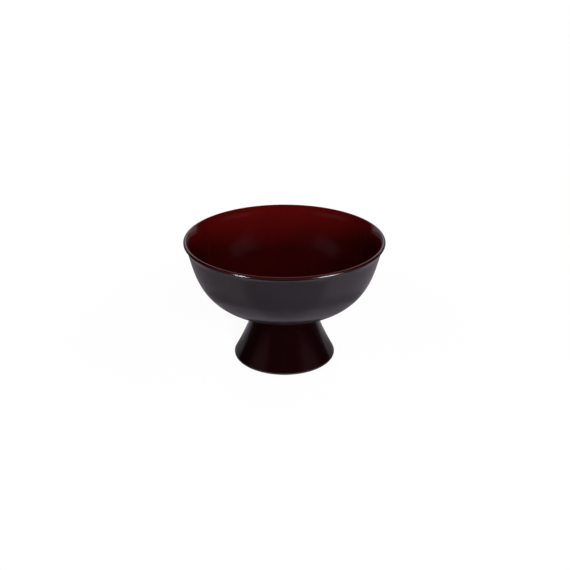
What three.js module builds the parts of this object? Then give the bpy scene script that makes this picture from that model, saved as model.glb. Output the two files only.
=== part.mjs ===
// Footed serving bowl in glazed stoneware.
//
// A wide thrown bowl with its lip turned out stands on a hollow flared foot, and a ring of soft clay
// lutes the two together. A red gloss glaze lines the bowl and rolls over the lip, a matte glaze covers
// the bowl's outside, and a dark gloss glaze covers the foot inside and out, down to the bare ring that
// it stands on.
//
// Millimetres, +Z up. The origin is on the floor, on the axis.

import * as THREE from 'three';

// Bowl
const LIP_DIAMETER = 220; // over the glaze
const BOWL_DEPTH = 86.2; // from the glazed underside to the top of the glazed lip
const BOWL_WALL = 3.7; // clay alone
const LIP_WALL = 3.2; // clay alone, which the wall thins to as it turns out
const LIP_OVERHANG = 4.3; // how far the wall turns out at the lip
const LIP_TURN_RADIUS = 18; // of that turn, at the middle of the wall
const WALL_LEAN = 14; // degrees outwards, where the turn begins
const WALL_REACH = 34.7; // how far the belly's curve comes down in line with the leaning wall
const BELLY_FULLNESS = 4.8; // how far past that wall's line the curve heads out level from the axis

// Foot
const FOOT_HEIGHT = 52.1; // clay, without the luting ring
const NECK_DIAMETER = 69.8; // clay, at the top of the foot
const BASE_DIAMETER = 114.5; // over the glaze, where the foot is widest
const FOOT_CURVE_RADIUS = 292; // of the hollow curve down the foot's side
const FOOT_WALL = 6; // clay, at the top of the foot
const BASE_EDGE_RADIUS = 1.4; // of the rounded edge that the foot spreads to
const RING_WIDTH = 6; // of the flat bare ring under the foot
const RING_EDGE_RADIUS = 1.6; // of that ring's inside edge

// Luting and glaze
const COVE_RADIUS = 3.6; // of the hollow that the luting ring is smoothed to
const LUTING_EDGE = 0.5; // height of the luting ring's outer edge under the bowl
const GLAZE = 0.4;
const FIT = 0.05; // from a coat or a seat to what it lies on
const GLAZE_LINE = 0.3; // bare line between two glazes
const BARE_HEIGHT = 0.2; // how far the foot's glaze stops above the floor

// Fineness
const SPIN_STEPS = 48; // the same on every piece, so that nested facets lie parallel
const BELLY_STEPS = 8;
const TURN_STEPS = 3;
const LIP_STEPS = 6;
const EDGE_STEPS = 4;
const SIDE_STEPS = 3;
const COVE_STEPS = 3;
const RING_EDGE_STEPS = 2;

const stoneware = new THREE.MeshStandardMaterial({ color: 0x8f7f6d, roughness: 0.9, metalness: 0 });
const oxbloodGloss = new THREE.MeshStandardMaterial({ color: 0x4c0806, roughness: 0.12, metalness: 0 });
const charcoalMatte = new THREE.MeshStandardMaterial({ color: 0x322d32, roughness: 0.55, metalness: 0 });
const darkRedGloss = new THREE.MeshStandardMaterial({ color: 0x1c0405, roughness: 0.14, metalness: 0 });

const halfWall = BOWL_WALL / 2;
const glazedHalfWall = halfWall + FIT + GLAZE;
const lipShare = LIP_WALL / BOWL_WALL;
const onAxis = 0;

// Profiles are drawn in half section: x is the radius and y is the height.
const at = (x, y) => new THREE.Vector2(x, y);

// A line is a list of points, each with the way out of the clay there. Where that way is shorter than 1,
// the wall and its coats are thinner by as much.
function shifted(line, distance) {
  return line.map(({ point, out }) => point.clone().addScaledVector(out, distance));
}

function thinned(line, shareAt) {
  return line.map(({ point, out }, index) => ({ point, out: out.clone().multiplyScalar(shareAt(index)) }));
}

const moved = (line, up) => line.map(({ point, out }) => ({ point: at(point.x, point.y + up), out }));

// An arc as a line. A convex arc's way out is away from its centre, and a hollow arc's is towards it.
function arcLine(centre, radius, from, to, steps, hollow = false) {
  return Array.from({ length: steps + 1 }, (_, step) => {
    const angle = THREE.MathUtils.lerp(from, to, step / steps);
    const spoke = at(Math.cos(angle), Math.sin(angle));
    const point = centre.clone().addScaledVector(spoke, radius);
    return { point, out: hollow ? spoke.negate() : spoke };
  });
}

// Where circles about two points meet, on the right-hand side of the way from the first to the second.
function circlesMeet(first, firstRadius, second, secondRadius) {
  const way = second.clone().sub(first);
  const apart = way.length();
  way.normalize();
  const along = (apart ** 2 + firstRadius ** 2 - secondRadius ** 2) / (2 * apart);
  const aside = Math.sqrt(firstRadius ** 2 - along ** 2);
  return first.clone().addScaledVector(way, along).addScaledVector(at(way.y, -way.x), aside);
}

// The angle of the way from one point to another, from 0 to a full turn.
const angleBetween = (from, to) => to.clone().sub(from).angle();

// The foot's outside, from the floor up: the rounded edge, the hollow side, then the luting ring's cove.
function footLines() {
  const top = at(NECK_DIAMETER / 2, FOOT_HEIGHT);
  const edge = at(BASE_DIAMETER / 2 - GLAZE - FIT - BASE_EDGE_RADIUS, BASE_EDGE_RADIUS);
  const side = circlesMeet(edge, FOOT_CURVE_RADIUS + BASE_EDGE_RADIUS, top, FOOT_CURVE_RADIUS);

  const glazeEnd = Math.asin((BARE_HEIGHT - BASE_EDGE_RADIUS) / (BASE_EDGE_RADIUS + FIT + GLAZE));
  const bareEdge = arcLine(edge, BASE_EDGE_RADIUS, -Math.PI / 2, glazeEnd, 1);
  const roundEdge = arcLine(edge, BASE_EDGE_RADIUS, glazeEnd, angleBetween(edge, side), EDGE_STEPS);

  const sideEnd = angleBetween(side, top);
  const hollowSide = arcLine(side, FOOT_CURVE_RADIUS, angleBetween(side, edge), sideEnd, SIDE_STEPS, true);

  const seat = at(top.x, top.y + FIT);
  const cove = seat.clone().addScaledVector(hollowSide.at(-1).out, COVE_RADIUS);
  const coveLine = arcLine(cove, COVE_RADIUS, sideEnd, Math.PI / 2, COVE_STEPS, true);

  return { bareEdge, clayLine: [...roundEdge, ...hollowSide.slice(1)], coveLine, ringStart: edge.x };
}

// The middle of the bowl's wall, from the axis to the lip, with the glazed underside at height 0. It has
// points over the inner edge and the outer edge of the luting ring, so that the ring meets one straight
// facet, and seatIndex is the outer one.
function bowlLine(seatInner, seatOuter) {
  const lipRadius = glazedHalfWall * lipShare;
  const tip = at(LIP_DIAMETER / 2 - lipRadius, BOWL_DEPTH - lipRadius);
  const lean = THREE.MathUtils.degToRad(WALL_LEAN);
  const tilt = Math.acos(Math.cos(lean) - LIP_OVERHANG / LIP_TURN_RADIUS);
  const neck = at(tip.x - LIP_OVERHANG, tip.y - LIP_TURN_RADIUS * (Math.sin(tilt) - Math.sin(lean)));
  const turn = at(neck.x + LIP_TURN_RADIUS * Math.cos(lean), neck.y - LIP_TURN_RADIUS * Math.sin(lean));
  const evenLine = arcLine(turn, LIP_TURN_RADIUS, Math.PI - lean, Math.PI - tilt, TURN_STEPS, true);
  const turnLine = thinned(evenLine, (step) => THREE.MathUtils.lerp(1, lipShare, step / TURN_STEPS));

  const wallLineAtBase = neck.x - (neck.y - glazedHalfWall) * Math.tan(lean);
  const belly = new THREE.CubicBezierCurve(
    at(onAxis, glazedHalfWall),
    at(wallLineAtBase + BELLY_FULLNESS, glazedHalfWall),
    at(neck.x - WALL_REACH * Math.sin(lean), neck.y - WALL_REACH * Math.cos(lean)),
    neck,
  );
  const place = (share) => {
    const along = belly.getTangent(share);
    return { point: belly.getPoint(share), out: at(along.y, -along.x) };
  };
  const inner = shareAtRadius(place, seatInner);
  const outer = shareAtRadius(place, seatOuter);
  const shares = [0, inner / 2, inner, outer];
  for (let step = 1; step <= BELLY_STEPS; step++) {
    shares.push(THREE.MathUtils.lerp(outer, 1, step / BELLY_STEPS));
  }
  return { line: [...shares.map(place), ...turnLine.slice(1)], seatIndex: shares.indexOf(outer) };
}

// The share of the belly's curve at which the clay's outside has a given radius, found by halving.
function shareAtRadius(place, radius) {
  let low = 0;
  let high = 1;
  while (high - low > 1e-9) {
    const middle = (low + high) / 2;
    const [outside] = shifted([place(middle)], halfWall);
    if (outside.x < radius) low = middle;
    else high = middle;
  }
  return low;
}

// The round of the lip, from the bare line over the top to the wall's inside. Every point is the middle
// of the wall's end, so a distance out from this line is a radius.
function lipLine(wall) {
  const end = wall.at(-1);
  const outside = end.out.angle();
  const bareEnd = outside + GLAZE_LINE / (LIP_WALL / 2);
  return thinned(arcLine(end.point, 0, bareEnd, outside + Math.PI, LIP_STEPS), () => lipShare);
}

function piece(name, profile, material) {
  const geometry = new THREE.LatheGeometry(profile, SPIN_STEPS).rotateX(Math.PI / 2);
  const mesh = new THREE.Mesh(geometry, material);
  mesh.name = name;
  return mesh;
}

const closed = (profile) => [...profile, profile[0].clone()];

// The coat between two distances out from a line, as a closed profile.
const coat = (line, near, far) => closed([...shifted(line, far), ...shifted(line, near).reverse()]);

// From the lip's bare line over the top and down the wall's inside, at a distance from its middle.
function lipAndInside(wall, distance) {
  return [...shifted(lipLine(wall).slice(0, -1), distance), ...shifted(wall, -distance).reverse()];
}

function bowlBody(wall) {
  return piece('bowl_body', [...shifted(wall, halfWall), ...lipAndInside(wall, halfWall)], stoneware);
}

function innerGlaze(wall) {
  const claySide = lipAndInside(wall, halfWall + FIT).reverse();
  return piece('inner_glaze', [...claySide, ...lipAndInside(wall, glazedHalfWall)], oxbloodGloss);
}

function outerGlaze(wallOutsideSeat) {
  return piece('outer_glaze', coat(wallOutsideSeat, halfWall + FIT, glazedHalfWall), charcoalMatte);
}

// The foot's inside wall, from the bare ring up to the luting ring, as a line whose way out is into the
// hollow.
function footInside(ringInner, neckInner) {
  const low = at(ringInner - RING_EDGE_RADIUS, RING_EDGE_RADIUS);
  const high = at(neckInner, FOOT_HEIGHT);
  const up = high.clone().sub(low).normalize();
  const out = at(-up.y, up.x);
  return [low, high].map((point) => ({ point, out }));
}

function footBody(foot, inside, ringInner) {
  const corner = at(ringInner, RING_EDGE_RADIUS);
  const ringEdge = arcLine(corner, RING_EDGE_RADIUS, Math.PI, 1.5 * Math.PI, RING_EDGE_STEPS);
  const outside = shifted([...foot.bareEdge, ...foot.clayLine.slice(1)], 0);
  const profile = [...outside, ...shifted(inside, 0).reverse(), ...shifted(ringEdge, 0).slice(1)];
  return piece('foot_body', closed(profile), stoneware);
}

function lutingRing(foot, seatInner, seatOuter, heightUnderBowl) {
  const profile = [
    at(seatInner, FOOT_HEIGHT + FIT),
    ...shifted(foot.coveLine, 0),
    at(seatOuter, heightUnderBowl(seatOuter)),
    at(seatInner, heightUnderBowl(seatInner)),
  ];
  return piece('luting_ring', closed(profile), stoneware);
}

function footGlaze(foot) {
  const line = [...foot.clayLine, ...foot.coveLine.slice(1)];
  return piece('foot_glaze', coat(line, FIT, FIT + GLAZE), darkRedGloss);
}

// The glaze in the hollow foot: over the bowl's underside there, then down the foot's inside wall.
function footLining(wallInsideSeat, inside) {
  const side = (ceilingDistance, wallDistance) => {
    const ceiling = shifted(wallInsideSeat, ceilingDistance);
    const [low, high] = shifted(inside, wallDistance);
    return [...ceiling.slice(0, -1), at(high.x, ceiling.at(-1).y), high, low];
  };
  const profile = [...side(glazedHalfWall, FIT + GLAZE), ...side(halfWall + FIT, FIT).reverse()];
  return piece('foot_lining', profile, darkRedGloss);
}

function footedBowl() {
  const foot = footLines();
  const seatInner = NECK_DIAMETER / 2 - FOOT_WALL;
  const seatOuter = foot.coveLine.at(-1).point.x;
  const seatHeight = foot.coveLine.at(-1).point.y + LUTING_EDGE + FIT;
  const ringInner = foot.ringStart - RING_WIDTH;
  const inside = footInside(ringInner, seatInner);

  // The bowl is drawn at height 0, then lifted until its clay rests on the luting ring's outer edge.
  const { line, seatIndex } = bowlLine(seatInner, seatOuter + GLAZE_LINE);
  const [inner, outer] = shifted(line.slice(seatIndex - 1, seatIndex + 1), halfWall);
  const slope = (outer.y - inner.y) / (outer.x - inner.x);
  const underside = (radius) => inner.y + (radius - inner.x) * slope;
  const lift = seatHeight - underside(seatOuter);
  const wall = moved(line, lift);
  const heightUnderBowl = (radius) => underside(radius) + lift - FIT;

  const group = new THREE.Group();
  group.add(
    bowlBody(wall),
    innerGlaze(wall),
    outerGlaze(wall.slice(seatIndex)),
    footBody(foot, inside, ringInner),
    lutingRing(foot, seatInner, seatOuter, heightUnderBowl),
    footGlaze(foot),
    footLining(wall.slice(0, seatIndex), inside),
  );
  return group;
}

export default footedBowl();
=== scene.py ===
"""Footed serving bowl in glazed stoneware, dressed around its frame. Metres, +Z up, the foot on z = 0."""
import math

import bpy
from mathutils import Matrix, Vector


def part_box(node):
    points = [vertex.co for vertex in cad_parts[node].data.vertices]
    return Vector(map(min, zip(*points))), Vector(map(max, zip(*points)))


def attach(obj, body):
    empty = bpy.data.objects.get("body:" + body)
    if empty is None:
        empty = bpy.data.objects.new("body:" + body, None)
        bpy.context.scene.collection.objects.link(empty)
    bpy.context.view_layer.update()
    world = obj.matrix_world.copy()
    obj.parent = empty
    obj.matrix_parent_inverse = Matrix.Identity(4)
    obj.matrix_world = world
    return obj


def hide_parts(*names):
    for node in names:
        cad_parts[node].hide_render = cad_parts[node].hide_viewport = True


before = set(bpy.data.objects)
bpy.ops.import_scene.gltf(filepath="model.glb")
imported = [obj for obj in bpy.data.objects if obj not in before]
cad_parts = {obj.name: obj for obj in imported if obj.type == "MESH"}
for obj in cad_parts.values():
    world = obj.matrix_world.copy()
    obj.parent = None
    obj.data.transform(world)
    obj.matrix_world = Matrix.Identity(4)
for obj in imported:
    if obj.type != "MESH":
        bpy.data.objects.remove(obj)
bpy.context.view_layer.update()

# Sizes taken from the frame
LIP_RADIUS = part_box("inner_glaze")[1].x
LIP_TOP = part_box("inner_glaze")[1].z
BOWL_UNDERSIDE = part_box("bowl_body")[0].z
BASE_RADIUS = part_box("foot_glaze")[1].x
FOOT_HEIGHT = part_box("foot_body")[1].z

# Sizes of the bowl
BOWL_WALL = 0.0037
LIP_WALL = 0.0032
LIP_OVERHANG = 0.0043
LIP_TURN_RADIUS = 0.018
WALL_LEAN = math.radians(14)
WALL_REACH = 0.0347
BELLY_FULLNESS = 0.0048

# Sizes of the foot
NECK_RADIUS = 0.0349
FOOT_CURVE_RADIUS = 0.292
FOOT_WALL = 0.006
BASE_EDGE_RADIUS = 0.0014
RING_WIDTH = 0.006
RING_EDGE_RADIUS = 0.0016

# Luting clay and glaze
COVE_RADIUS = 0.0036
GLAZE = 0.0004
FIT = 0.00005
BARE_HEIGHT = 0.0002

# Fineness
SPIN_STEPS = 256
FLOOR_STEPS = 12
SEAT_STEPS = 6
BELLY_STEPS = 48
TURN_STEPS = 12
LIP_STEPS = 24
EDGE_STEPS = 12
SIDE_STEPS = 24
COVE_STEPS = 10
CAP_STEPS = 6
WELD = 1e-7
CREASE = math.radians(50)

# Photograph: fitted camera, for a picture of 570 by 570
CAMERA_ASIDE = 0.00065
CAMERA_AWAY = 0.900
CAMERA_HEIGHT = 0.4922
CAMERA_DOWN = math.radians(24.454)
FOCAL_PIXELS = 884
PICTURE_PIXELS = 570
SENSOR_MM = 36

# Colours of the glazes and the clay, as linear light
OXBLOOD_DEEP = (0.055, 0.0017, 0.0014, 1)
OXBLOOD_BRIGHT = (0.085, 0.0028, 0.0024, 1)
OXBLOOD_SPECK = (0.012, 0.002, 0.002, 1)
LIP_RED = (0.035, 0.001, 0.001, 1)
# Painted shade under the lip, near-black
UNDERLIP_SHADE = (0.004, 0.003, 0.003, 1)
CHARCOAL_DEEP = (0.0092, 0.0076, 0.0092, 1)
CHARCOAL_BRIGHT = (0.0164, 0.0136, 0.0164, 1)
CHARCOAL_SPECK = (0.006, 0.005, 0.006, 1)
DARK_RED_DEEP = (0.003, 0.0004, 0.0005, 1)
DARK_RED_BRIGHT = (0.0055, 0.0007, 0.0009, 1)
# Painted reflection of the pale floor on the foot's bottom edge
FLOOR_SHEEN_GREY = (0.03, 0.022, 0.025, 1)
CLAY_DEEP = (0.2, 0.145, 0.1, 1)
CLAY_BRIGHT = (0.36, 0.285, 0.21, 1)
DARK_GRIT = (0.09, 0.06, 0.045, 1)
PALE_GRIT = (0.5, 0.44, 0.36, 1)

# Where the gloss changes, and where its painted shade and painted floor reflection lie: in from the lip's
# edge, down from the lip's top, and up from the floor
LIP_RED_STARTS = 0.0039
LIP_RED_FULL = 0.0019
UNDERLIP_SHADE_STARTS = 0.001
UNDERLIP_SHADE_FULL = 0.0018
FLOOR_SHEEN_STARTS = 0.0028
FLOOR_SHEEN_FULL = 0.0014

# Texture of the glazes and the clay. The small factor of z draws the runs out along it.
GLAZE_IOR = 1.5
GLOSS_ROUGHNESS = 0.1
MATTE_ROUGHNESS = 0.17
ROUGHNESS_SPREAD = 0.06
CLAY_ROUGHNESS = 0.8
CLAY_ROUGHNESS_SPREAD = 0.12
SPECK_STRENGTH = 0.8
RUN_WIDTH = 0.004
OXBLOOD_RUNS = (1, 1, 0.1)
OXBLOOD_RUN_SHARE = 0.25
DARK_RED_RUNS = (1, 1, 0.12)
DARK_RED_RUN_SHARE = 0.4
RIPPLE_SIZE = 0.006
RIPPLE_DEPTH = 0.00002
RING_SIZE = 0.005
RING_SHARE = 0.4
GRAIN_SHARE = 0.5
OXBLOOD_CLOUDS = 0.03
DARK_RED_CLOUDS = 0.022
CHARCOAL_CLOUDS = 0.035
CHARCOAL_GRAIN = 0.0009
CHARCOAL_GRAIN_DEPTH = 0.000012
CLAY_CLOUDS = 0.012
CLAY_GRAIN = 0.0006
CLAY_GRAIN_DEPTH = 0.00008

# Colours of the studio
WHITE = (1, 1, 1, 1)
BLACK = (0, 0, 0, 1)
PAPER_GREY = (0.5, 0.5, 0.5, 1)
MIRRORED_TINT = (1, 0.89, 1, 1)
DIM_ROOM = (0.004, 0.003, 0.009, 1)
BACKDROP_LOW = (0.15, 0.14, 0.15, 1)
BACKDROP_PALE = (1.05, 1, 1.05, 1)
SIDE_GLOW = (0.16, 0.086, 0.1, 1)

# The floor as the camera sees it. An edge here and below gives where a thing is 0 and where it is 1.
FLOOR_SIZE = 14
FAR_EDGE = (0.15, 0.5)
NEAR_GLOW = 1.18
SHADOW_SHARE = 0.2

# The floor as the glazes mirror it, painted light and shade: edges by the way from the axis, then in metres,
# and levels of brightness
FRONT_EDGE = (-0.45, -1)
BEHIND_EDGE = (0.4, 0.75)
LIT_EDGE = (0.38, 0.26)
LIT_FRONT_DRAW = 0.22
BACK_EDGE = (0.22, 0.16)
BY_FOOT_EDGE = (0.1, 0.06)
SHADOW_EDGE = (0.13, 0.08)
SHADOW_FRONT_EDGE = (-0.03, 0.03)
LIP_SHADE_INNER_EDGE = (0.118, 0.133)
LIP_SHADE_OUTER_EDGE = (0.19, 0.15)
RIGHT_EDGE = (0.1, 0.2)
LEAST_LEVEL = 0.03
LIT_LEVEL = 0.29
LIT_FRONT_LEVEL = 0.08
BACK_LEVEL = 0.14
BY_FOOT_LEVEL = 0.06
SHADOW_LEVEL = 0.5
LIP_SHADE_LEVEL = 0.45
LIP_SHADE_FRONT_LEVEL = 0.15
RIGHT_LEVEL = 0.16

# The room as the glazes mirror it: edges by how far a way leads back, up or to a side
BACKDROP_EDGE = (0.62, 0.7)
BACKDROP_TOP_EDGE = (0.6, 0.5)
BACKDROP_PALE_EDGE = (0.17, 0.25)
BACKDROP_MIDDLE_EDGE = (0.28, 0.14)
BACKDROP_SIDE_LEVEL = 0.5
GLOW_FRONT_EDGE = (-0.8, -0.55)
GLOW_BACK_EDGE = (0.08, -0.25)
GLOW_LOW_EDGE = (0.1, 0.28)
GLOW_HIGH_EDGE = (0.65, 0.45)

half_wall = BOWL_WALL / 2
coat_near = half_wall + FIT
coat_far = coat_near + GLAZE
lip_share = LIP_WALL / BOWL_WALL


# Outlines are drawn in half section: x is the radius and y is the height. A line is a list of points, each
# with the way out of the clay there. Where that way is shorter than 1, the wall and its coats are thinner by
# as much.

def shifted(line, distance):
    return [point + way * distance for point, way in line]


def thinned(line, first, last):
    """A line whose ways shorten evenly, from one share at its start to another at its end."""
    steps = len(line) - 1
    return [(point, way * (first + (last - first) * step / steps)) for step, (point, way) in enumerate(line)]


def arc(centre, radius, start, end, steps, hollow=False):
    """An arc as a line. A convex arc's way out is away from its centre, and a hollow arc's is towards it."""
    line = []
    for step in range(steps + 1):
        angle = start + (end - start) * step / steps
        spoke = Vector((math.cos(angle), math.sin(angle)))
        line.append((centre + spoke * radius, -spoke if hollow else spoke))
    return line


def angle_of(way):
    """A way's angle, from 0 to a full turn."""
    return math.atan2(way.y, way.x) % math.tau


def circles_meet(first, first_radius, second, second_radius):
    """Where two circles meet, on the right-hand side of the way from the first to the second."""
    way = second - first
    apart = way.length
    way = way.normalized()
    along = (apart ** 2 + first_radius ** 2 - second_radius ** 2) / (2 * apart)
    aside = math.sqrt(first_radius ** 2 - along ** 2)
    return first + way * along + Vector((way.y, -way.x)) * aside


def round_end(place, turn, near, far):
    """The round end of a coat, from its far side to its near side, or with a half turn from near to far."""
    point, way = place
    start = angle_of(way) + turn
    radius = (far - near) / 2 * way.length
    line = arc(point + way * (near + far) / 2, radius, start, start + math.pi, CAP_STEPS)
    return shifted(line[1:-1], 0)


def coat(line, near, far):
    """The closed outline of a coat between two distances out from a line, its ends rounded over."""
    outline = shifted(line, far) + round_end(line[-1], 0, near, far)
    outline += shifted(line, near)[::-1] + round_end(line[0], math.pi, near, far)
    return outline + outline[:1]


def foot_lines():
    """The foot's outside from the floor up: the bare edge, the glazed edge and side, then the cove of the
    luting clay."""
    top = Vector((NECK_RADIUS, FOOT_HEIGHT))
    edge = Vector((BASE_RADIUS - GLAZE - FIT - BASE_EDGE_RADIUS, BASE_EDGE_RADIUS))
    side = circles_meet(edge, FOOT_CURVE_RADIUS + BASE_EDGE_RADIUS, top, FOOT_CURVE_RADIUS)

    glaze_end = math.asin((BARE_HEIGHT - BASE_EDGE_RADIUS) / (BASE_EDGE_RADIUS + FIT + GLAZE))
    bare_edge = arc(edge, BASE_EDGE_RADIUS, -math.pi / 2, glaze_end, CAP_STEPS)
    edge_end = math.atan2(side.y - edge.y, side.x - edge.x)
    round_edge = arc(edge, BASE_EDGE_RADIUS, glaze_end, edge_end, EDGE_STEPS)

    side_end = angle_of(top - side)
    hollow_side = arc(side, FOOT_CURVE_RADIUS, angle_of(edge - side), side_end, SIDE_STEPS, hollow=True)

    seat = Vector((top.x, top.y + FIT))
    cove = seat + hollow_side[-1][1] * COVE_RADIUS
    cove_line = arc(cove, COVE_RADIUS, side_end, math.pi / 2, COVE_STEPS, hollow=True)
    return bare_edge, round_edge + hollow_side[1:], cove_line


def bowl_lines(seat_inner, seat_outer):
    """The middle of the bowl's wall from the axis to the lip: over the hollow foot, over the luting clay, and
    the rest."""
    lip_round = coat_far * lip_share
    tip = Vector((LIP_RADIUS - lip_round, LIP_TOP - lip_round))
    tilt = math.acos(math.cos(WALL_LEAN) - LIP_OVERHANG / LIP_TURN_RADIUS)
    rise = LIP_TURN_RADIUS * (math.sin(tilt) - math.sin(WALL_LEAN))
    neck = Vector((tip.x - LIP_OVERHANG, tip.y - rise))
    lean = Vector((math.sin(WALL_LEAN), math.cos(WALL_LEAN)))
    turn = neck + Vector((lean.y, -lean.x)) * LIP_TURN_RADIUS
    even_line = arc(turn, LIP_TURN_RADIUS, math.pi - WALL_LEAN, math.pi - tilt, TURN_STEPS, hollow=True)
    turn_line = thinned(even_line, 1, lip_share)

    start = Vector((0, BOWL_UNDERSIDE + half_wall))
    level = Vector((neck.x - (neck.y - start.y) * math.tan(WALL_LEAN) + BELLY_FULLNESS, start.y))
    leaning = neck - lean * WALL_REACH

    def place(share):
        rest = 1 - share
        point = start * rest ** 3 + level * 3 * rest ** 2 * share
        point += leaning * 3 * rest * share ** 2 + neck * share ** 3
        along = (level - start) * rest ** 2 + (leaning - level) * 2 * rest * share
        along += (neck - leaning) * share ** 2
        along.normalize()
        return point, Vector((along.y, -along.x))

    def share_at(radius):
        low, high = 0, 1
        while high - low > WELD:
            middle = (low + high) / 2
            if shifted([place(middle)], half_wall)[0].x < radius:
                low = middle
            else:
                high = middle
        return low

    def stretch(first, last, steps):
        return [place(first + (last - first) * step / steps) for step in range(steps + 1)]

    inner, outer = share_at(seat_inner), share_at(seat_outer)
    over_hollow = stretch(0, inner, FLOOR_STEPS)
    over_luting = stretch(inner, outer, SEAT_STEPS)
    return over_hollow, over_luting, stretch(outer, 1, BELLY_STEPS) + turn_line[1:]


def lip_line(wall):
    """The round of the lip, from where the two glazes meet over the top to the wall's inside. Every point is
    the middle of the wall's end, so a distance out from this line is a radius."""
    point, way = wall[-1]
    outside = angle_of(way)
    meeting = GLAZE / (coat_near + GLAZE / 2)
    return thinned(arc(point, 0, outside + meeting, outside + math.pi, LIP_STEPS), lip_share, lip_share)


# Turning

def turned(name, outline):
    """One point drawn along an outline by extrusion, then spun about the axis into a solid."""
    bpy.ops.object.select_all(action="DESELECT")
    bpy.ops.mesh.primitive_plane_add(size=GLAZE)
    piece = bpy.context.object
    piece.name = name
    piece.data.name = name
    bpy.ops.object.mode_set(mode="EDIT")
    bpy.ops.mesh.select_mode(type="VERT")
    bpy.ops.mesh.select_all(action="SELECT")
    bpy.ops.mesh.merge(type="CENTER")
    bpy.ops.transform.translate(value=(outline[0].x, 0, outline[0].y))
    for last, point in zip(outline, outline[1:]):
        step = point - last
        bpy.ops.mesh.extrude_region_move(TRANSFORM_OT_translate={"value": (step.x, 0, step.y)})
    bpy.ops.mesh.select_all(action="SELECT")
    bpy.ops.mesh.remove_doubles(threshold=WELD)
    bpy.ops.mesh.spin(steps=SPIN_STEPS, angle=math.tau, center=(0, 0, 0), axis=(0, 0, 1))
    bpy.ops.mesh.select_all(action="SELECT")
    bpy.ops.mesh.remove_doubles(threshold=WELD)
    bpy.ops.mesh.normals_make_consistent(inside=False)
    bpy.ops.object.mode_set(mode="OBJECT")
    bpy.ops.object.shade_smooth_by_angle(angle=CREASE)
    return piece


def dressed(piece, node, finish):
    piece.data.materials.append(finish)
    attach(piece, "root")
    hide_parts(node)


# Shader maths

class Value:
    """A node's output. Arithmetic on it adds Math nodes."""

    def __init__(self, nodes, socket):
        self.nodes = nodes
        self.socket = socket

    def math(self, operation, first, second=0.0):
        return self.nodes.node("ShaderNodeMath", {"operation": operation}, {0: first, 1: second})

    def __add__(self, other):
        return self.math("ADD", self, other)

    def __rsub__(self, other):
        return self.math("SUBTRACT", other, self)

    def __mul__(self, other):
        return self.math("MULTIPLY", self, other)

    def __gt__(self, other):
        return self.math("GREATER_THAN", self, other)

    def __abs__(self):
        return self.math("ABSOLUTE", self)

    __radd__ = __add__
    __rmul__ = __mul__


class Nodes:
    """A node tree, with one method that adds a node, sets it up and gives its sockets values or links."""

    def __init__(self, owner):
        owner.use_nodes = True
        self.tree = owner.node_tree
        self.tree.nodes.clear()

    def node(self, kind, settings=None, sockets=None, output=0):
        node = self.tree.nodes.new(kind)
        for name, value in (settings or {}).items():
            setattr(node, name, value)
        for name, value in (sockets or {}).items():
            if isinstance(value, Value):
                self.tree.links.new(value.socket, node.inputs[name])
            else:
                node.inputs[name].default_value = value
        if not node.outputs:
            return None
        return Value(self, node.outputs[output])

    def place(self):
        return self.node("ShaderNodeTexCoord", output="Object")

    def stretched(self, vector, scale):
        return self.node("ShaderNodeVectorMath", {"operation": "MULTIPLY"}, {0: vector, 1: scale})

    def axis(self, vector, index):
        return self.node("ShaderNodeSeparateXYZ", sockets={0: vector}, output=index)

    def radius(self, vector):
        flat = self.stretched(vector, (1, 1, 0))
        return self.node("ShaderNodeVectorMath", {"operation": "LENGTH"}, {0: flat}, output="Value")

    def cloud(self, vector, size, detail=2.0):
        """Soft noise from 0 to 1, with blotches of about a size."""
        sockets = {"Vector": vector, "Scale": 1 / size, "Detail": detail}
        return self.node("ShaderNodeTexNoise", sockets=sockets)

    def specks(self, vector, apart, size, share):
        """1 on round specks of a size, in a share of cells that lie so far apart."""
        sockets = {"Vector": vector, "Scale": 1 / apart}
        cell = self.node("ShaderNodeTexVoronoi", sockets=sockets, output="Color")
        distance = self.node("ShaderNodeTexVoronoi", sockets=sockets, output="Distance")
        chosen = self.axis(cell, 0) > 1 - share
        return chosen * self.smooth(distance, size / apart, size / apart / 2)

    def smooth(self, value, zero, one):
        """0 up to one level, 1 from another, and smooth between."""
        settings = {"interpolation_type": "SMOOTHSTEP"}
        return self.node("ShaderNodeMapRange", settings, {0: value, 1: zero, 2: one})

    def mix(self, share, first, second):
        """A colour between two."""
        sockets = {0: share, 6: first, 7: second}
        return self.node("ShaderNodeMix", {"data_type": "RGBA"}, sockets, output=2)

    def relief(self, height, depth):
        """Bumps of a depth in metres, from a height between 0 and 1."""
        return self.node("ShaderNodeBump", sockets={"Strength": 1.0, "Distance": depth, "Height": height})

    def surface(self, sockets):
        shader = self.node("ShaderNodeBsdfPrincipled", sockets=sockets)
        self.node("ShaderNodeOutputMaterial", sockets={"Surface": shader})


# Finishes

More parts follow.
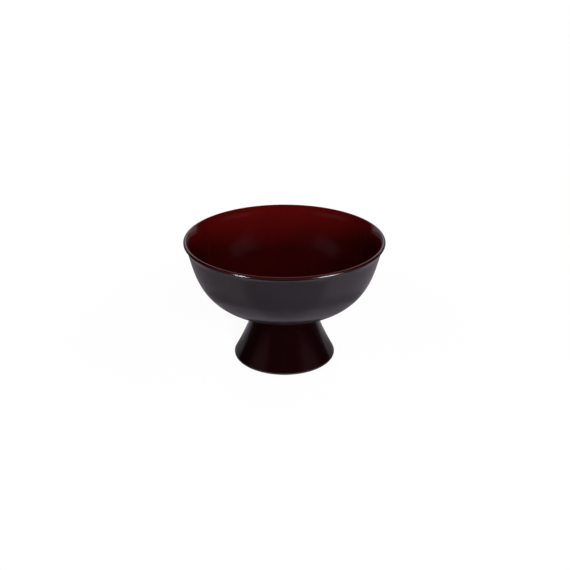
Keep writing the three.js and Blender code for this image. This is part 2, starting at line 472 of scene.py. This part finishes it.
def oxblood_gloss():
    """Red gloss that runs a little down the wall, darkens over the lip to a near-black painted shade under it
    where the matte begins, and has a few iron specks."""
    finish = bpy.data.materials.new("oxblood_gloss")
    nodes = Nodes(finish)
    place = nodes.place()
    out = nodes.radius(place)
    height = nodes.axis(place, 2)
    runs = nodes.cloud(nodes.stretched(place, OXBLOOD_RUNS), RUN_WIDTH)
    blush = nodes.cloud(place, OXBLOOD_CLOUDS)
    shade = runs * OXBLOOD_RUN_SHARE + blush * (1 - OXBLOOD_RUN_SHARE)
    red = nodes.mix(shade, OXBLOOD_DEEP, OXBLOOD_BRIGHT)
    turned_out = nodes.smooth(out, LIP_RADIUS - LIP_RED_STARTS, LIP_RADIUS - LIP_RED_FULL)
    red = nodes.mix(turned_out, red, LIP_RED)
    # Painted shade on the underside of the lip, down to where the matte begins
    line = turned_out * nodes.smooth(height, LIP_TOP - UNDERLIP_SHADE_STARTS, LIP_TOP - UNDERLIP_SHADE_FULL)
    red = nodes.mix(line, red, UNDERLIP_SHADE)
    specks = nodes.specks(place, apart=0.007, size=0.00035, share=0.35)
    red = nodes.mix(specks * SPECK_STRENGTH, red, OXBLOOD_SPECK)
    section = nodes.node("ShaderNodeCombineXYZ", sockets={0: out, 1: height})
    rings = nodes.cloud(section, RING_SIZE, detail=0.0)
    ripple = nodes.cloud(place, RIPPLE_SIZE, detail=1.0)
    nodes.surface({
        "Base Color": red,
        "Roughness": blush * ROUGHNESS_SPREAD + GLOSS_ROUGHNESS,
        "Normal": nodes.relief(ripple * (1 - RING_SHARE) + rings * RING_SHARE, RIPPLE_DEPTH),
        "IOR": GLAZE_IOR,
    })
    return finish


def charcoal_matte():
    """Satin-matte charcoal with a slight violet cast, a fine sugary grain and a few dark specks."""
    finish = bpy.data.materials.new("charcoal_matte")
    nodes = Nodes(finish)
    place = nodes.place()
    clouds = nodes.cloud(place, CHARCOAL_CLOUDS)
    grain = nodes.cloud(place, CHARCOAL_GRAIN, detail=3.0)
    shade = clouds * (1 - GRAIN_SHARE) + grain * GRAIN_SHARE
    charcoal = nodes.mix(shade, CHARCOAL_DEEP, CHARCOAL_BRIGHT)
    specks = nodes.specks(place, apart=0.006, size=0.0004, share=0.3)
    charcoal = nodes.mix(specks * SPECK_STRENGTH, charcoal, CHARCOAL_SPECK)
    nodes.surface({
        "Base Color": charcoal,
        "Roughness": grain * ROUGHNESS_SPREAD + MATTE_ROUGHNESS,
        "Normal": nodes.relief(grain, CHARCOAL_GRAIN_DEPTH),
        "IOR": GLAZE_IOR,
    })
    return finish


def dark_red_gloss():
    """Near-black red gloss, greyer on the foot's rounded bottom edge with a painted reflection of the pale
    floor.
    """
    finish = bpy.data.materials.new("dark_red_gloss")
    nodes = Nodes(finish)
    place = nodes.place()
    runs = nodes.cloud(nodes.stretched(place, DARK_RED_RUNS), RUN_WIDTH)
    blush = nodes.cloud(place, DARK_RED_CLOUDS)
    shade = runs * DARK_RED_RUN_SHARE + blush * (1 - DARK_RED_RUN_SHARE)
    dark = nodes.mix(shade, DARK_RED_DEEP, DARK_RED_BRIGHT)
    # Painted reflection of the floor on the rounded bottom edge of the foot
    floor_sheen = nodes.smooth(nodes.axis(place, 2), FLOOR_SHEEN_STARTS, FLOOR_SHEEN_FULL)
    dark = nodes.mix(floor_sheen, dark, FLOOR_SHEEN_GREY)
    ripple = nodes.cloud(place, RIPPLE_SIZE, detail=1.0)
    nodes.surface({
        "Base Color": dark,
        "Roughness": blush * ROUGHNESS_SPREAD + GLOSS_ROUGHNESS,
        "Normal": nodes.relief(ripple, RIPPLE_DEPTH),
        "IOR": GLAZE_IOR,
    })
    return finish


def bare_stoneware():
    """Dry fired clay with dark and pale grit."""
    finish = bpy.data.materials.new("bare_stoneware")
    nodes = Nodes(finish)
    place = nodes.place()
    clouds = nodes.cloud(place, CLAY_CLOUDS)
    grain = nodes.cloud(place, CLAY_GRAIN, detail=3.0)
    shade = clouds * (1 - GRAIN_SHARE) + grain * GRAIN_SHARE
    clay = nodes.mix(shade, CLAY_DEEP, CLAY_BRIGHT)
    clay = nodes.mix(nodes.specks(place, apart=0.002, size=0.0003, share=0.5), clay, DARK_GRIT)
    clay = nodes.mix(nodes.specks(place, apart=0.0017, size=0.00025, share=0.4), clay, PALE_GRIT)
    nodes.surface({
        "Base Color": clay,
        "Roughness": grain * CLAY_ROUGHNESS_SPREAD + CLAY_ROUGHNESS,
        "Normal": nodes.relief(grain, CLAY_GRAIN_DEPTH),
    })
    return finish


# Pieces

bare_edge, foot_side, cove_line = foot_lines()
seat_inner = NECK_RADIUS - FOOT_WALL
seat_outer = cove_line[-1][0].x
over_hollow, over_luting, over_open = bowl_lines(seat_inner, seat_outer)
wall = over_hollow + over_luting[1:] + over_open[1:]
lip = lip_line(wall)

ring_inner = bare_edge[0][0].x - RING_WIDTH
inside_low = Vector((ring_inner - RING_EDGE_RADIUS, RING_EDGE_RADIUS))
inside_high = Vector((seat_inner, FOOT_HEIGHT))
inside_up = (inside_high - inside_low).normalized()
inside_way = Vector((-inside_up.y, inside_up.x))
ring_edge = arc(Vector((ring_inner, RING_EDGE_RADIUS)), RING_EDGE_RADIUS, math.pi, 1.5 * math.pi, CAP_STEPS)


def lip_and_inside(distance):
    """From the meeting of the glazes over the lip and down the inside, at a distance from the middle."""
    return shifted(lip[:-1], distance) + shifted(wall, -distance)[::-1]


def red_outline():
    meeting = round_end(lip[0], math.pi, coat_near, coat_far)
    return lip_and_inside(coat_near)[::-1] + meeting + lip_and_inside(coat_far)


def foot_clay_outline():
    outside = shifted(bare_edge + foot_side[1:], 0)
    outline = outside + [inside_high, inside_low] + shifted(ring_edge, 0)[1:]
    return outline + outline[:1]


def luting_outline():
    under_bowl = shifted(over_luting, half_wall + FIT)
    outline = [Vector((seat_inner, FOOT_HEIGHT + FIT))] + shifted(cove_line, 0) + under_bowl[::-1]
    return outline + outline[:1]


def lining_outline():
    """Over the bowl's underside in the hollow foot, then down the foot's inside wall to a rounded end."""
    def side(ceiling_distance, wall_distance):
        ceiling = shifted(over_hollow, ceiling_distance)
        low, high = inside_low + inside_way * wall_distance, inside_high + inside_way * wall_distance
        return [point for point in ceiling if point.x < high.x] + [Vector((high.x, ceiling[-1].y)), high, low]

    low_end = round_end((inside_low, inside_way), math.pi, FIT, FIT + GLAZE)
    return side(coat_far, FIT + GLAZE) + low_end[::-1] + side(coat_near, FIT)[::-1]


red = oxblood_gloss()
charcoal = charcoal_matte()
dark_red = dark_red_gloss()
stoneware = bare_stoneware()

bowl_clay = turned("bowl_clay", shifted(wall, half_wall) + lip_and_inside(half_wall))
dressed(bowl_clay, "bowl_body", stoneware)
foot_clay = turned("foot_clay", foot_clay_outline())
dressed(foot_clay, "foot_body", stoneware)
luting_clay = turned("luting_clay", luting_outline())
dressed(luting_clay, "luting_ring", stoneware)
red_glaze = turned("red_glaze", red_outline())
dressed(red_glaze, "inner_glaze", red)
matte_glaze = turned("matte_glaze", coat(over_open, coat_near, coat_far))
dressed(matte_glaze, "outer_glaze", charcoal)
foot_gloss = turned("foot_gloss", coat(foot_side + cove_line[1:], FIT, FIT + GLAZE))
dressed(foot_gloss, "foot_glaze", dark_red)
hollow_gloss = turned("hollow_gloss", lining_outline())
dressed(hollow_gloss, "foot_lining", dark_red)


# Studio

def mirrored_level(nodes, place, out):
    """How bright the glazes see the paper, all painted light: a painted pool of light around the bowl, in
    front less far but brighter, with painted shade behind the foot and under the lip, and a little more light
    on the right."""
    way = nodes.node("ShaderNodeVectorMath", {"operation": "NORMALIZE"}, {0: place})
    right = nodes.axis(way, 0)
    back = nodes.axis(way, 1)
    front = nodes.smooth(back, *FRONT_EDGE)
    behind = nodes.smooth(back, *BEHIND_EDGE)
    lit = nodes.smooth(out + front * LIT_FRONT_DRAW, *LIT_EDGE) * (front * LIT_FRONT_LEVEL + LIT_LEVEL)
    by_foot = nodes.smooth(out, *BY_FOOT_EDGE) * BY_FOOT_LEVEL
    by_backdrop = behind * nodes.smooth(out, *BACK_EDGE) * BACK_LEVEL
    # Painted shadow behind the foot
    shadow = nodes.smooth(nodes.axis(place, 1), *SHADOW_FRONT_EDGE) * nodes.smooth(out, *SHADOW_EDGE)
    # Painted shade under the lip
    lip_shade = nodes.smooth(out, *LIP_SHADE_INNER_EDGE) * nodes.smooth(out, *LIP_SHADE_OUTER_EDGE)
    lip_shade = lip_shade * (1 - behind) * (front * LIP_SHADE_FRONT_LEVEL + LIP_SHADE_LEVEL)
    level = LEAST_LEVEL + lit + by_foot + by_backdrop
    level = level * (1 - shadow * SHADOW_LEVEL) * (1 - lip_shade)
    return level * (right * nodes.smooth(out, *RIGHT_EDGE) * RIGHT_LEVEL + 1)


def white_floor():
    """Pale paper that the camera sees nearly white, with the object's shadow on it, and that the glazes
    mirror less bright, as a painted pattern of light and shade."""
    bpy.ops.object.select_all(action="DESELECT")
    bpy.ops.mesh.primitive_plane_add(size=FLOOR_SIZE)
    floor = bpy.context.object
    floor.name = "floor"
    paper = bpy.data.materials.new("floor_paper")
    nodes = Nodes(paper)
    place = nodes.place()
    out = nodes.radius(place)
    far = nodes.smooth(out, *FAR_EDGE)
    matte = nodes.node("ShaderNodeBsdfDiffuse", sockets={"Color": PAPER_GREY})
    glow_level = NEAR_GLOW - far * (NEAR_GLOW - 1)
    glow = nodes.node("ShaderNodeEmission", sockets={"Color": WHITE, "Strength": glow_level})
    to_camera = nodes.node("ShaderNodeLightPath", output="Is Camera Ray")
    glow_share = to_camera * (far * SHADOW_SHARE + (1 - SHADOW_SHARE))
    shown = nodes.node("ShaderNodeMixShader", sockets={0: glow_share, 1: matte, 2: glow})
    level = mirrored_level(nodes, place, out)
    mirrored = nodes.node("ShaderNodeEmission", sockets={"Color": MIRRORED_TINT, "Strength": level})
    to_gloss = nodes.node("ShaderNodeLightPath", output="Is Glossy Ray")
    shown = nodes.node("ShaderNodeMixShader", sockets={0: to_gloss, 1: shown, 2: mirrored})
    nodes.node("ShaderNodeOutputMaterial", sockets={"Surface": shown})
    floor.data.materials.append(paper)


def studio_world():
    """White to the camera. The object sees a pale backdrop behind it, soft glows aside and a dim room."""
    world = bpy.data.worlds.new("studio")
    bpy.context.scene.world = world
    nodes = Nodes(world)
    way = nodes.node("ShaderNodeTexCoord", output="Generated")
    back = nodes.axis(way, 1)
    up = nodes.axis(way, 2)
    backdrop = nodes.smooth(back, *BACKDROP_EDGE) * nodes.smooth(up, *BACKDROP_TOP_EDGE)
    room = nodes.mix(backdrop, DIM_ROOM, BACKDROP_LOW)
    middle = nodes.smooth(abs(nodes.axis(way, 0)), *BACKDROP_MIDDLE_EDGE)
    pale_level = middle * (1 - BACKDROP_SIDE_LEVEL) + BACKDROP_SIDE_LEVEL
    pale = nodes.mix(pale_level, BLACK, BACKDROP_PALE)
    room = nodes.mix(backdrop * nodes.smooth(up, *BACKDROP_PALE_EDGE), room, pale)
    glow = nodes.smooth(back, *GLOW_FRONT_EDGE) * nodes.smooth(back, *GLOW_BACK_EDGE)
    glow = glow * nodes.smooth(up, *GLOW_LOW_EDGE) * nodes.smooth(up, *GLOW_HIGH_EDGE)
    room = nodes.mix(glow, room, SIDE_GLOW)
    to_camera = nodes.node("ShaderNodeLightPath", output="Is Camera Ray")
    seen = nodes.mix(to_camera, room, WHITE)
    background = nodes.node("ShaderNodeBackground", sockets={"Color": seen, "Strength": 1.0})
    nodes.node("ShaderNodeOutputWorld", sockets={"Surface": background})


def lamp(name, azimuth, distance, height, width, tall, power, glossy=True, spread=180):
    """An area lamp aimed at the bowl. Azimuth 0 is in front, and positive is to the right."""
    aim = Vector((0, 0, LIP_TOP / 2))
    azimuth = math.radians(azimuth)
    place = Vector((math.sin(azimuth) * distance, -math.cos(azimuth) * distance, height))
    bpy.ops.object.light_add(type="AREA", location=place)
    light = bpy.context.object
    light.name = name
    light.rotation_euler = (place - aim).to_track_quat("Z", "Y").to_euler()
    light.data.shape = "RECTANGLE"
    light.data.size = width
    light.data.size_y = tall
    light.data.energy = power
    light.data.spread = math.radians(spread)
    light.visible_camera = False
    light.visible_glossy = glossy
    light.data.cycles.use_multiple_importance_sampling = glossy
    return light


white_floor()
studio_world()
lamp("key", azimuth=8.5, distance=1.3, height=0.235, width=0.3, tall=0.4, power=25, glossy=False)
lamp("left_fill", azimuth=-4, distance=1.2, height=0.7, width=0.4, tall=0.3, power=0.4, glossy=False)
lamp("right_fill", azimuth=15, distance=1.2, height=0.7, width=0.4, tall=0.3, power=4.4, glossy=False)
lamp("back_fill", azimuth=180, distance=1.6, height=0.5, width=1.4, tall=0.6, power=8, glossy=False)
lamp(
    "top_fill", azimuth=0, distance=0, height=1, width=0.06, tall=0.06, power=0.008, glossy=False, spread=14,
)
lip_lights = [
    lamp("left_strip", azimuth=-45.5, distance=1.2, height=0.11, width=0.3, tall=0.08, power=11),
    lamp("right_strip", azimuth=46, distance=1.2, height=0.11, width=0.48, tall=0.08, power=20),
]
lip_only = bpy.data.collections.new("lip_only")
lip_only.objects.link(red_glaze)
for light in lip_lights:
    light.visible_diffuse = False
    light.light_linking.receiver_collection = lip_only

bpy.ops.object.camera_add(
    location=(CAMERA_ASIDE, -CAMERA_AWAY, CAMERA_HEIGHT),
    rotation=(math.pi / 2 - CAMERA_DOWN, 0, 0),
)
camera = bpy.context.object
camera.data.sensor_width = SENSOR_MM
camera.data.lens = SENSOR_MM * FOCAL_PIXELS / PICTURE_PIXELS
bpy.context.scene.camera = camera
bpy.context.scene.view_settings.view_transform = "Standard"
